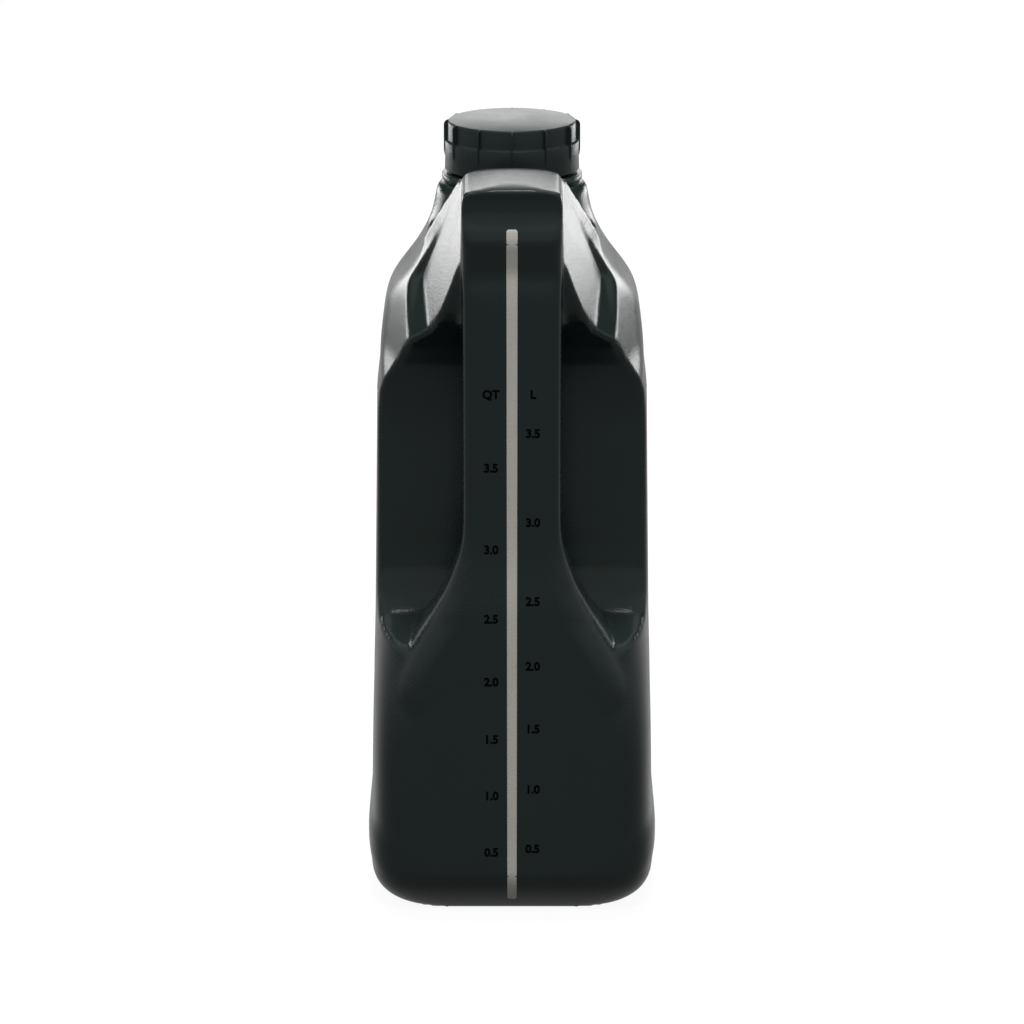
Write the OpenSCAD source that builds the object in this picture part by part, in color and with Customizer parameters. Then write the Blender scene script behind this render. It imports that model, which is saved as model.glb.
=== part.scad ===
// Fluid jug of one US gallon. A blown body with a moulded-in carrying handle, a pale level strip
// let into its back, a ribbed screw cap with a sealing wad, and a plain film label on each broad side.
// Frame: +Z up, X across the narrow width, Y along the length, handle at -Y,
// origin in the middle of the standing face.

/* [Main sizes] */
// Height to the top of the closed cap, mm
total_h = 303; // [296:0.5:312]
// Width across the heel, mm
heel_w = 115.4; // [110:0.2:120]
// Distance from the middle to the back and to the front, mm
half_len = 98; // [95:0.5:104]
// Thickness of the blown wall, mm
wall = 1.6; // [1.2:0.1:2.2]

/* [Heel and base] */
// Radius of the heel, mm
heel_r = 15; // [12:0.5:18]
// Height of the push-up under the base, mm
push_up = 3.5; // [2:0.5:5]
// Width of the flat standing rim, mm
rim_w = 7; // [5:0.5:9]

/* [Label panel] */
// Step from the heel bulge in to the label panel, mm
panel_step = 1.5; // [1:0.1:2.2]
// Lowest edge of the label panel, mm
panel_z0 = 37; // [35:0.5:42]
// Highest edge of the label panel, mm
panel_z1 = 206; // [200:1:210]
// How much each side leans in from bottom to top of the panel, mm
side_lean = 2.6; // [1.5:0.1:3.4]
// Thickness of the label film, mm
label_t = 0.4; // [0.3:0.05:0.6]
// Height of the label, mm
label_h = 163; // [140:1:164]

/* [Handle] */
// Width of the handle strip, mm
grip_w = 38; // [36:0.2:41]
// Depth of the handle from back to front, mm
grip_d = 25; // [22:0.5:28]
// Height of the crowned top of the handle, mm
grip_top = 295; // [292:0.5:297]
// How far each flank is pressed in below the shoulder, mm
groove_d = 4.6; // [2:0.1:5.4]

/* [Finger bay] */
// Distance from the middle to the wall of the bay, mm
bay_wall = 50; // [47:0.5:54]
// Height of the floor of the bay, mm
bay_floor = 113; // [110:0.5:118]

/* [Neck and thread] */
// Radius of the bore through the neck, mm
mouth_r = 20.6; // [20:0.1:21]
// Radius of the neck outside between the threads, mm
neck_r = 22.5; // [22.2:0.1:22.8]
// Rise of one turn of the thread, mm
lead = 4.2; // [3.8:0.1:5]
// Depth of the thread, mm
thread_d = 1.3; // [1.1:0.1:1.5]
// Turns of thread
thread_turns = 1.5; // [1.25:0.25:1.75]
// Free space between cap and neck, mm
fit_gap = 0.45; // [0.4:0.05:0.55]

/* [Cap] */
// Height of the cap, mm
cap_h = 19.6; // [18.8:0.2:20]
// Radius of the upper band of the cap, mm
cap_r = 25.6; // [25.4:0.1:26.4]
// Step from the upper band out to the lower band, mm
cap_step = 1.1; // [0.8:0.1:1.4]
// Number of grip ribs round the cap
rib_count = 12; // [8:1:16]
// Height of each rib over the lower band, mm
rib_h = 0.5; // [0.4:0.1:0.9]
// Thickness of the sealing wad, mm
wad_t = 1; // [0.8:0.1:1.2]

/* [Level strip] */
// Width of the strip at its top, mm
strip_top_w = 4.4; // [4:0.1:5.5]
// Width of the strip at its foot, mm
strip_foot_w = 3.7; // [3:0.1:4.4]
// Depth of the strip in the wall, mm
strip_d = 0.9; // [0.6:0.1:1.1]

/* [Hidden] */

black = [0.05, 0.06, 0.06];
pale = [0.74, 0.72, 0.68];
film = [0.62, 0.30, 0.18];
ov = 0.05;
half_w = heel_w / 2;
grip_hw = grip_w / 2;
shoulder_z = 262;
bulge = 1;

function sm(a, b, t) = let (u = min(1, max(0, (t - a) / (b - a)))) u * u * (3 - 2 * u);
function smin(a, b, k) = let (h = max(k - abs(a - b), 0) / k) min(a, b) - h * h * k / 4;
function round_in(z, i) = z < heel_r ? heel_r - i - sqrt(max(0, pow(heel_r - i, 2) - pow(heel_r - z, 2))) : 0;

// Half width of the side at the middle of the length, at height z
function panel_w(z) = half_w - panel_step - side_lean * (z - panel_z0) / (panel_z1 - panel_z0);
function heel_side(z, i) = half_w - bulge - round_in(z, i) + sm(heel_r, 24, z) * bulge - sm(29, panel_z0, z) * panel_step;
function slope_w(z) = lookup(z, [[200, 53.4], [210, 53.1], [218, 52.6], [223, 52], [228, 51.2], [233, 49.8], [238, 47.3],
    [243, 44.2], [250, 39.6], [256, 36.2], [262, 33.4], [266, 31.8], [270, 30.6]]);
function side_w(z, i) = (z < panel_z0 ? heel_side(z, i) : z < panel_z1 ? panel_w(z) : smin(panel_w(z), slope_w(z), 2)) - i;

// The pressed-in flanks narrow evenly towards the handle; the shoulder outside them is fuller
function flank_w(y, z) = 20.5 + 0.3015 * (290 - z) + 0.245 * (y + 50);
function full_w(y, z) = flank_w(y, z) + groove_d * (1 - sm(238, 277, z));

// Back and front ends of a ring at height z
function back_y(z, i) = -half_len + i + round_in(z, i) + 1.2 * sm(20, 120, z);
function front_y(z, i) = half_len - i - round_in(z, i) - 2 * sm(20, 200, z) - 78 * sm(196, 300, z);

// Powers of the rounded box: higher is squarer
function front_pow(z) = 5.2 - 2.6 * sm(190, shoulder_z, z);
function back_pow(z) = 7.5 - 3.6 * sm(60, bay_floor, z);

// Half ring from the front middle round the side to the back middle
function ring_half(z, i, nf, nb) = let (
        w = side_w(z, i), yf = front_y(z, i), yb = back_y(z, i),
        ef = 2 / front_pow(z), eb = 2 / back_pow(z), b = sm(196, 220, z))
    concat(
        [for (k = [0 : nf - 1]) let (a = 90 * k / nf) [w * pow(sin(a), ef), yf * pow(cos(a), ef)]],
        [for (k = [0 : nb]) let (t = k / nb, a = 90 * t,
                lo = [w * pow(cos(a), eb), yb * pow(sin(a), eb)],
                y2 = t < 0.75 ? (yb + 6) * t / 0.75 : yb + 6 - 6 * min(1, (t - 0.75) / 0.1),
                x2 = t < 0.85 ? smin(w, full_w(y2, z) - i, 2.5) : max(0, full_w(yb, z) - i) * (1 - t) / 0.15)
            lo * (1 - b) + [x2, y2] * b]);
function ring(z, i, nf, nb) = let (h = ring_half(z, i, nf, nb), n = len(h))
    concat([for (p = h) [p[0], p[1], z]], [for (k = [n - 2 : -1 : 1]) [-h[k][0], h[k][1], z]]);

// Solid through a stack of rings with equal counts of points
module loft(rings) {
    n = len(rings[0]);
    m = len(rings);
    polyhedron(points = [for (r = rings) for (p = r) p], convexity = 10,
        faces = concat([[for (k = [n - 1 : -1 : 0]) k]],
            [for (j = [0 : m - 2]) for (k = [0 : n - 1])
                [j * n + k, j * n + (k + 1) % n, (j + 1) * n + (k + 1) % n, (j + 1) * n + k]],
            [[for (k = [0 : n - 1]) (m - 1) * n + k]]));
}

body_z = [0, 1, 2.6, 5, 8, 11.5, 15, 20, 24, 29, 33, 37, 60, 85, 100, 113, 150, 190, 205,
    212, 218, 223, 228, 233, 238, 243, 250, 256, shoulder_z];
core_z = [wall, 3.2, 6, 10, 15, 24, 35, 60, 113, 150, 190, 205, 214, 224, 233, 242, 250, 256, shoulder_z - wall];

// Side view of the finger bay, from the floor up the wall and the slanted ceiling
bay_pts = [[-half_len - 20, bay_floor - 3], [-84, bay_floor - 3], [-70, bay_floor - 1], [-60, bay_floor + 3],
    [-bay_wall - 4, bay_floor + 9], [-bay_wall - 0.8, bay_floor + 18], [-bay_wall, bay_floor + 28], [-bay_wall, 190],
    [-bay_wall - 0.7, 197], [-bay_wall - 2, 204], [-bay_wall - 3.4, 209.5], [-bay_wall - 6, 216], [-62, 225], [-70, 232.5],
    [-76, 238], [-80, 243.5], [-82.5, 251], [-84, 260], [-86, 267], [-90, 272], [-half_len - 20, 272]];
module bay(grow) rotate([90, 0, 90]) linear_extrude(height = 2 * half_w + 20, center = true) offset(delta = grow) polygon(bay_pts);

// Handle: half width, back and front at height z
function grip_w_at(z) = lookup(z, [[80, 36], [90, 40], [100, 41.5], [110, 40.5], [118, 37.5], [122.7, 33.6], [128, 30.2],
    [134, 26.6], [142, 23], [150, 20.4], [156, grip_hw + 0.3], [165, grip_hw], [250, grip_hw], [262, grip_hw + 0.4],
    [286, grip_hw + 0.4], [grip_top - 5, grip_hw - 0.4], [grip_top - 2.6, grip_hw - 2.2], [grip_top - 1.4, grip_hw - 5.5],
    [grip_top - 0.5, grip_hw - 10], [grip_top, grip_hw - 13.5]]);
function grip_back_at(z) = half_len + lookup(z, [[80, -6], [90, -2.6], [100, -1.1], [150, -1.2], [250, -3], [256, -3],
    [260, -2.2], [264, -0.9], [268, -0.1], [272, 0], [280, -0.5], [286, -1], [grip_top - 5, -1.4],
    [grip_top - 2.6, -1.7], [grip_top - 1.4, -2.3], [grip_top - 0.5, -4], [grip_top, -7]]);
function grip_front_at(z) = lookup(z, [[80, 60], [118, 60], [128, 66], [140, 71], [156, half_len - grip_d],
    [230, half_len - grip_d], [236, half_len - grip_d - 2], [244, half_len - grip_d - 8], [256, 56], [264, 50],
    [grip_top - 5, 50], [grip_top - 2.6, 51], [grip_top - 1.4, 52.5], [grip_top - 0.5, 55], [grip_top, 58.5]]);
function quarter(cx, cy, r, a0, n, z) = [for (k = [0 : n]) let (a = a0 - 90 * k / n) [cx + r * cos(a), cy + r * sin(a), z]];
function grip_round(z) = lookup(z, [[80, 5], [90, 6], [100, 9], [118, 13], [128, 11], [142, 7], [156, 5], [grip_top - 5, 5],
    [grip_top - 1.4, 4], [grip_top, 3]]);
function grip_ring(z, i, n) = let (w = grip_w_at(z) - i, yb = grip_back_at(z) - i, yf = grip_front_at(z) + i,
        rb = grip_round(z) - i, r = 5 - i)
    concat(quarter(w - rb, -yb + rb, rb, 0, n, z), quarter(-w + rb, -yb + rb, rb, -90, n, z),
        quarter(-w + r, -yf - r, r, 180, n, z), quarter(w - r, -yf - r, r, 90, n, z));
grip_z = [80, 90, 100, 110, 118, 122.7, 128, 134, 142, 150, 156, 165, 230, 236, 244, 250, 256, 260, 264, 268, 272,
    280, 286, grip_top - 5, grip_top - 2.6, grip_top - 1.4, grip_top - 0.5, grip_top];
core_grip_z = [92, 110, 122.7, 134, 142, 150, 165, 230, 238, 250, 256, 264, 272, 280, 286, grip_top - 5];

// Roof between the handle and the neck, with the flanks as its sides
roof_z = [222, 262, 267, 272.5, 280, grip_top - 5.5];
function roof_front(z) = lookup(z, [[222, 58], [250, 36], [262, 32], [267, 33], [272.5, 35.5], [280, 41.5], [290, 50]]);
function roof_mid(z) = lookup(z, [[222, 44], [262, 12], [290, 49.5]]);
function roof_ring(z, i) = let (f = roof_front(z) + i, m = roof_mid(z) + i,
        a = flank_w(-f, z) - i, b = max(8, flank_w(-86, z) - i))
    [[b, -86, z], [7, -90, z], [-7, -90, z], [-b, -86, z], [-a, -f, z], [-8, -m, z], [8, -m, z], [a, -f, z]];
module roof(i) difference() {
    loft([for (z = roof_z) roof_ring(z - (z > 280 ? i : 0), i)]);
    neck_room(i);
}

// Flank pressed in below the shoulder, behind a bent chamfer.
// Side view corners: tip, two on the shoulder, two on the flank, two by the handle
press_pts = [[-50, 277], [-37, 245.5], [-63.5, 227], [-69.5, 234], [-40.5, 249], [-100, 216], [-100, 266]];
module flank_press(extra) {
    out = [-0.6, groove_d + 0.8, groove_d + 0.8, -0.6, -0.6, -0.6, -0.6];
    edge = [0, 1, 2, 5, 6];
    polyhedron(convexity = 6, points = concat(
            [for (k = [0 : 6]) let (p = press_pts[k]) [flank_w(p[0], p[1]) + out[k] - extra, p[0], p[1]]],
            [for (k = edge) [half_w + 10, press_pts[k][0], press_pts[k][1]]]),
        faces = concat([[0, 4, 1], [1, 4, 2], [2, 4, 3], [2, 3, 5], [0, 6, 5, 3, 4]], [[7, 8, 9, 10, 11]],
            [for (k = [0 : 4]) [edge[k], edge[(k + 1) % 5], 7 + (k + 1) % 5, 7 + k]]));
}
// Room round the neck so that fingers can reach the cap
function circle_ring(r, z) = [for (k = [0 : 47]) [r * cos(7.5 * k + 2), -r * sin(7.5 * k + 2), z]];
module neck_room(grow) loft([circle_ring(35 + grow, shoulder_z - 0.7), circle_ring(47 + grow, shoulder_z + 40)]);
// Thumb scoop in the back of the handle
module thumb_scoop(grow) intersection() {
    rotate([90, 0, 90]) linear_extrude(height = 50, center = true) offset(delta = grow)
        polygon([[-half_len - 2, 277.5], [-half_len + 0.4, 278.6], [-half_len + 2.4, 280.2], [-half_len + 3.8, 282.8],
            [-half_len + 4.2, 286], [-half_len + 3.9, 290], [-half_len + 2.6, 292.2], [-half_len - 2, 293.4]]);
    rotate([90, 0, 0]) linear_extrude(height = half_len + 10) translate([0, 285.6]) offset(r = 5 + grow, $fn = 20)
        square([2 * (grip_hw - 5.9), 4.8], center = true);
}

module flanks(extra) {
    flank_press(extra);
    mirror([1, 0, 0]) flank_press(extra);
}
// Whole outside (i = 0) or the hollow inside it (i = wall)
module form(i, zs, gz, nf, nb, ng) difference() {
    union() {
        difference() {
            union() {
                difference() {
                    loft([for (z = zs) ring(z, i, nf, nb)]);
                    flanks(i);
                }
                roof(i);
            }
            bay(i);
        }
        difference() {
            loft([for (z = gz) grip_ring(z, i, ng)]);
            neck_room(i);
        }
    }
    thumb_scoop(i);
}

// Neck heights, all taken from the closed cap
cap_top_t = 1.6;
seal_gap = 0.05;
neck_top = total_h - cap_top_t - wad_t - seal_gap;
cap_low = total_h - cap_h;
flange_top = cap_low - 1.1;
flange_t = 3.2;
collar_top = flange_top - flange_t;

module neck_outside() {
    rotate_extrude($fn = 72) polygon([[0, shoulder_z - 6], [33.6, shoulder_z - 6], [32.2, shoulder_z + 0.5], [31, shoulder_z + 7],
        [30, collar_top - 3], [28.6, collar_top - 0.6], [27.2, collar_top], [27.2, collar_top + 0.4], [28, collar_top + 0.8],
        [28, flange_top - 0.6], [27.4, flange_top], [neck_r, flange_top], [neck_r, neck_top - 0.6],
        [neck_r - 0.6, neck_top], [0, neck_top]]);
}
module neck_bore() {
    translate([0, 0, shoulder_z - 12]) cylinder(r = mouth_r, h = neck_top - shoulder_z + 12 + ov, $fn = 72);
    translate([0, 0, shoulder_z - 10]) cylinder(r1 = 31, r2 = mouth_r, h = 14, $fn = 72);
}

// Thread ridge along a helix: root radius, depth outwards (+) or inwards (-), start height, width
module thread(root, depth, z0, width, turns) {
    steps = 28;
    n = round(steps * turns);
    out = sign(depth);
    pts = [for (k = [0 : n]) let (a = 360 * k / steps, f = min(1, 4 * k / steps, 4 * (n - k) / steps),
            d = max(0.05, abs(depth) * f) * out, z = z0 + lead * k / steps)
        each [[(root - 0.3 * out) * cos(a), (root - 0.3 * out) * sin(a), z - width / 2],
            [(root + d) * cos(a), (root + d) * sin(a), z - width / 5],
            [(root + d) * cos(a), (root + d) * sin(a), z + width / 5],
            [(root - 0.3 * out) * cos(a), (root - 0.3 * out) * sin(a), z + width / 2]]];
    body = [for (k = [0 : n - 1]) for (j = [0 : 3])
        [4 * k + j, 4 * k + (j + 1) % 4, 4 * (k + 1) + (j + 1) % 4, 4 * (k + 1) + j]];
    ends = [[3, 2, 1, 0], [4 * n, 4 * n + 1, 4 * n + 2, 4 * n + 3]];
    faces = concat(body, ends);
    polyhedron(points = pts, faces = out > 0 ? faces : [for (f = faces) [for (j = [len(f) - 1 : -1 : 0]) f[j]]], convexity = 6);
}
thread_w = 2.2;
neck_thread_z = neck_top - 3 - lead * thread_turns;
cap_thread_z = neck_thread_z - lead / 2;

// Push-up under the base, inside the flat standing rim
function base_ring(i, z) = [for (p = ring(heel_r, i, 6, 6)) [p[0], p[1], z]];
module base_hollow(grow) {
    edge = heel_r + rim_w - grow;
    loft([base_ring(edge, -1), base_ring(edge, grow), base_ring(edge + push_up, grow + push_up * 0.6),
        base_ring(edge + 2.4 * push_up, grow + push_up)]);
}

// Strip down the middle of the back, flush with the plastic round it
strip_z = [6, 8, 11.5, 15, 20, 24, 60, 85, 100, 113, 150, 250, 256, 260, 264, 268, 272, 276, 279];
function spine_y(z) = z < 90 ? back_y(z, 0) : -grip_back_at(z);
module strip_solid(grow) {
    intersection() {
        rotate([90, 0, 90]) linear_extrude(height = 10, center = true)
            polygon(concat([for (z = strip_z) [spine_y(z) - grow, z]],
                [for (k = [len(strip_z) - 1 : -1 : 0]) [spine_y(strip_z[k]) + strip_d, strip_z[k]]]));
        rotate([90, 0, 0]) linear_extrude(height = half_len + 10) polygon([[-strip_foot_w / 2, 0], [strip_foot_w / 2, 0],
            [strip_top_w / 2, grip_top], [-strip_top_w / 2, grip_top]]);
    }
}

module jug_body() color(black) difference() {
    union() {
        form(0, body_z, grip_z, 11, 13, 5);
        neck_outside();
        thread(neck_r, thread_d, neck_thread_z, thread_w, thread_turns);
    }
    difference() {
        form(wall, core_z, core_grip_z, 8, 9, 3);
        base_hollow(wall);
    }
    base_hollow(0);
    neck_bore();
    strip_solid(1);
    label(0, 2);
    mirror([1, 0, 0]) label(0, 2);
}

module level_strip() color(pale) strip_solid(0);

module cap_rib() {
    rotate([90, 0, 0]) linear_extrude(height = 1.1, center = true) polygon([[cap_r - 1, cap_low + 4.6], [cap_r + cap_step - 0.2, cap_low + 4.6],
        [cap_r + cap_step + rib_h, cap_low + 7], [cap_r + cap_step + rib_h, total_h - 1.2], [cap_r + 0.4, total_h + 0.1],
        [cap_r - 1, total_h + 0.1]]);
}
module cap() color(black) {
    bore = neck_r + thread_d + fit_gap;
    difference() {
        union() {
            rotate_extrude($fn = 72) polygon([[0, cap_low], [cap_r + cap_step + 0.1, cap_low], [cap_r + cap_step + 0.1, cap_low + 1],
                [cap_r + cap_step, cap_low + 6], [cap_r + cap_step, total_h - 8.2], [cap_r + cap_step - 0.4, total_h - 7.8],
                [cap_r, total_h - 7.6], [cap_r, total_h - 0.7], [cap_r - 0.5, total_h], [0, total_h]]);
            for (k = [0 : rib_count - 1]) rotate([0, 0, 360 * (k + 0.5) / rib_count - 90 + 15]) cap_rib();
        }
        translate([0, 0, cap_low - ov]) cylinder(r = bore, h = cap_h - cap_top_t + ov, $fn = 72);
    }
    thread(bore, -thread_d, cap_thread_z, thread_w, thread_turns);
}
module cap_liner() color(pale) translate([0, 0, neck_top + seal_gap]) cylinder(r = neck_r - 0.1, h = wad_t, $fn = 72);

// Label film, let into the side panel so that it sits nearly flush
label_z0 = 40;
label_y0 = -42;
label_y1 = 62;
function side_x(y, z) = side_w(z, 0) * (y > 0 ? pow(1 - pow(y / front_y(z, 0), front_pow(z)), 1 / front_pow(z))
    : pow(1 - pow(-y / -back_y(z, 0), back_pow(z)), 1 / back_pow(z)));
label_ys = [label_y0, -24, 0, 20, 34, 46, 55, label_y1];
label_zs = [label_z0, 85, 113, label_z0 + label_h];
module label(inner, outer) {
    ny = len(label_ys);
    nz = len(label_zs);
    sheet_in = [for (z = label_zs) for (y = label_ys) [side_x(y, z) - label_t + 0.1 - inner, y, z]];
    sheet_out = [for (z = label_zs) for (y = label_ys) [side_x(y, z) + 0.1 + outer, y, z]];
    n = ny * nz;
    quads = [for (j = [0 : nz - 2]) for (k = [0 : ny - 2]) [j * ny + k, j * ny + k + 1, (j + 1) * ny + k + 1, (j + 1) * ny + k]];
    edge = concat([for (k = [0 : ny - 2]) [k, k + 1]], [for (j = [0 : nz - 2]) [j * ny + ny - 1, (j + 1) * ny + ny - 1]],
        [for (k = [ny - 1 : -1 : 1]) [(nz - 1) * ny + k, (nz - 1) * ny + k - 1]], [for (j = [nz - 1 : -1 : 1]) [j * ny, (j - 1) * ny]]);
    intersection() {
        polyhedron(points = concat(sheet_in, sheet_out), convexity = 4,
            faces = concat([for (q = quads) [q[0], q[3], q[2], q[1]] + [n, n, n, n]], quads,
                [for (e = edge) [e[1], e[0], n + e[0], n + e[1]]]));
        rotate([90, 0, 90]) linear_extrude(height = half_w + 10) translate([(label_y0 + label_y1) / 2, label_z0 + label_h / 2])
            offset(r = 8) square([label_y1 - label_y0 - 16, label_h - 16], center = true);
    }
}
module label_right() color(film) label(0, 0);
module label_left() color(film) mirror([1, 0, 0]) label(0, 0);

jug_body();
level_strip();
cap();
cap_liner();
label_left();
label_right();
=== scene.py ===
# %% [markdown]
# # A blown fluid jug, built round its measured frame
#
# The jug is black, glossy polyethylene, blown in one piece with its handle. A pale strip that
# lets the level show runs down its back, a ribbed cap screws on to the neck, and a film label
# is fused into each broad side. The measured CAD model is loaded first. It is the frame that
# every piece has to match, and it is never moved.

# %% Load the measured frame
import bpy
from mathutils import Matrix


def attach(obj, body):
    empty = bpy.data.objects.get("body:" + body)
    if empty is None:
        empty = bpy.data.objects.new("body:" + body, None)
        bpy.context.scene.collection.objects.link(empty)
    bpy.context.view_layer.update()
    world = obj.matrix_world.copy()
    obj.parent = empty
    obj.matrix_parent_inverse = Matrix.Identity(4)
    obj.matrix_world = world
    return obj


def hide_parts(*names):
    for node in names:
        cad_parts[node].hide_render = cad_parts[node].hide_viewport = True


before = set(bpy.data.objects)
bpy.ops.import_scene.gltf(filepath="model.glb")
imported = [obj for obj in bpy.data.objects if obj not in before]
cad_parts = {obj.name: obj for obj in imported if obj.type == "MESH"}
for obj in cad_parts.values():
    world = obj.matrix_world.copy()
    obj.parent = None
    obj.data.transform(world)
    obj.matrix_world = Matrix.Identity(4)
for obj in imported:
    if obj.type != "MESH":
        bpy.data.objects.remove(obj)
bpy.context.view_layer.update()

import bpy
import bmesh
import math
import numpy as np
from mathutils import Vector
from mathutils.bvhtree import BVHTree

MM = 0.001

# %% [markdown]
# ## Sizes of the jug
#
# The numbers are millimetres and repeat the ones that the CAD model is made from, because
# the dressed surface has to lie where the solid one does. Values that change with height are
# kept as short tables, and a smooth curve is drawn through each of them.

# %% Main sizes
TOTAL_H = 303.0
HALF_W = 57.7
HALF_LEN = 98.0
WALL = 1.6
HEEL_R = 15.0
BACK_HEEL_H, BACK_HEEL_IN = 20.0, 16.0
PUSH_UP = 3.5
RIM_W = 7.0
PANEL_Z0, PANEL_Z1 = 37.0, 206.0
PANEL_STEP = 1.5
SIDE_LEAN = 2.6
GRIP_TOP = 295.0
GROOVE_D = 4.6
BAY_FLOOR, BAY_EDGE_R = 113.0, 6.0
SHOULDER_Z = 262.0
MOUTH_R, NECK_R = 20.6, 22.5
LEAD, THREAD_D, THREAD_TURNS, THREAD_W = 4.2, 1.3, 1.5, 2.2
FIT_GAP = 0.45
CAP_H, CAP_R, CAP_STEP, CAP_TOP_T = 19.6, 25.6, 1.1, 1.6
WAD_T, SEAL_GAP = 1.0, 0.05
NECK_TOP = TOTAL_H - CAP_TOP_T - WAD_T - SEAL_GAP
CAP_LOW = TOTAL_H - CAP_H
FLANGE_TOP = CAP_LOW - 1.1
COLLAR_TOP = FLANGE_TOP - 3.2
print("neck top", NECK_TOP, "cap foot", CAP_LOW, "collar top", COLLAR_TOP)


# %% Curves through short tables
def step(a, b, t):
    """0 before a, 1 after b, and a smooth rise between."""
    u = np.clip((np.asarray(t, float) - a) / (b - a), 0, 1)
    return u * u * (3 - 2 * u)


def soft_min(a, b, k):
    """The smaller of two values, rounded off where they cross."""
    h = np.maximum(k - np.abs(a - b), 0) / k
    return np.minimum(a, b) - h * h * k / 4


def flow(z, table):
    """A smooth curve through (height, value) pairs that never overshoots them."""
    xs, ys = (np.array(v, float) for v in zip(*table))
    h, d = np.diff(xs), np.diff(ys) / np.diff(xs)
    m = np.zeros_like(xs)
    m[0], m[-1] = d[0], d[-1]
    for k in range(1, len(xs) - 1):
        if d[k - 1] * d[k] > 0:
            w1, w2 = 2 * h[k] + h[k - 1], h[k] + 2 * h[k - 1]
            m[k] = (w1 + w2) / (w1 / d[k - 1] + w2 / d[k])
    t = np.clip(np.asarray(z, float), xs[0], xs[-1])
    k = np.clip(np.searchsorted(xs, t, side="right") - 1, 0, len(xs) - 2)
    u = (t - xs[k]) / h[k]
    return ((2 * u**3 - 3 * u**2 + 1) * ys[k] + (u**3 - 2 * u**2 + u) * h[k] * m[k]
            + (3 * u**2 - 2 * u**3) * ys[k + 1] + (u**3 - u**2) * h[k] * m[k + 1])


# %% [markdown]
# ## Section of the body at any height
#
# A blown body is a stack of sections that change slowly, so it is made as a loft. Below the
# shoulder each section is a rounded box, a superellipse whose power says how square it is.
# Above, the flanks run in evenly to the handle. The two are mixed over the shoulder.

# %% Body sections
SLOPE_W = [(200, 53.4), (210, 53.1), (218, 52.6), (223, 52), (228, 51.2), (233, 49.8),
           (238, 47.3), (243, 44.2), (250, 39.6), (256, 36.2), (262, 33.4), (270, 30.6)]


def round_in(z, i):
    """How far the heel has curved in at height z."""
    if z >= HEEL_R:
        return 0.0
    return HEEL_R - i - math.sqrt(max(0, (HEEL_R - i) ** 2 - (HEEL_R - z) ** 2))


def panel_w(z):
    return HALF_W - PANEL_STEP - SIDE_LEAN * (z - PANEL_Z0) / (PANEL_Z1 - PANEL_Z0)


def side_w(z, i=0.0):
    """Half width at the middle of the length; i is the distance inside the surface."""
    if z < PANEL_Z0:
        heel = (HALF_W - 1 - round_in(z, i) + step(HEEL_R, 24, z)
                - step(29, PANEL_Z0, z) * PANEL_STEP)
        return float(heel) - i
    if z < PANEL_Z1:
        return panel_w(z) - i
    return float(soft_min(panel_w(z), flow(z, SLOPE_W), 2)) - i


def flank_w(y, z):
    return 20.5 + 0.3015 * (290 - z) + 0.245 * (y + 50)


def full_w(y, z):
    return flank_w(y, z) + GROOVE_D * (1 - step(238, 277, z))


def back_in(z, i):
    """The heel at the back turns in sharply at its top edge, then runs on evenly."""
    u = max(0.0, z - min(i, WALL))
    return BACK_HEEL_IN * max(0.0, 1 - u / BACK_HEEL_H) ** 1.6


def back_y(z, i=0.0):
    return float(-HALF_LEN + i + back_in(z, i) + 1.2 * step(20, 120, z))


def front_y(z, i=0.0):
    return float(HALF_LEN - i - round_in(z, i) - 2 * step(20, 200, z) - 78 * step(196, 300, z))


def front_pow(z):
    return float(5.2 - 2.6 * step(190, SHOULDER_Z, z))


def back_pow(z):
    return float(7.5 - 3.6 * step(60, BAY_FLOOR, z))


def body_ring(z, i, nf, nb):
    w, yf, yb = side_w(z, i), front_y(z, i), back_y(z, i)
    a = np.radians(90 * np.arange(nf) / nf)
    ef, eb = 2 / front_pow(z), 2 / back_pow(z)
    front = np.column_stack([w * np.sin(a) ** ef, yf * np.cos(a) ** ef])
    t = np.arange(nb + 1) / nb
    c, s = np.clip(np.cos(np.pi / 2 * t), 0, 1), np.sin(np.pi / 2 * t)
    low = np.column_stack([w * c ** eb, yb * s ** eb])
    y2 = np.where(t < 0.75, (yb + 6) * t / 0.75, yb + 6 - 6 * np.clip((t - 0.75) / 0.1, 0, 1))
    x2 = np.where(t < 0.85, soft_min(w, full_w(y2, z) - i, 2.5),
                  max(0.0, float(full_w(yb, z)) - i) * (1 - t) / 0.15)
    mix = float(step(196, 220, z))
    half = np.vstack([front, low * (1 - mix) + np.column_stack([x2, y2]) * mix])
    left = half[-2:0:-1] * [-1, 1]
    ring = np.vstack([half, left])
    return np.column_stack([ring, np.full(len(ring), z)])


print("half width at 0, 100, 250 mm:", [round(side_w(z), 1) for z in (0, 100, 250)])


# %% [markdown]
# ## Tools for solids
#
# Nearly every form below is a closed mesh, lofted through rings or turned on a lathe. They
# are joined and cut with the Manifold solver, which is quick and keeps closed meshes closed.

# %% Mesh tools
def new_object(name, verts, faces):
    mesh = bpy.data.meshes.new(name)
    mesh.from_pydata([tuple(v) for v in np.asarray(verts, float) * MM], [], faces)
    obj = bpy.data.objects.new(name, mesh)
    bpy.context.scene.collection.objects.link(obj)
    bm = bmesh.new()
    bm.from_mesh(mesh)
    bmesh.ops.remove_doubles(bm, verts=bm.verts, dist=1e-6)
    bmesh.ops.dissolve_degenerate(bm, edges=bm.edges, dist=1e-7)
    bmesh.ops.recalc_face_normals(bm, faces=bm.faces)
    bmesh.ops.triangulate(bm, faces=[f for f in bm.faces if len(f.verts) > 4])
    bm.to_mesh(mesh)
    bm.free()
    return obj


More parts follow.
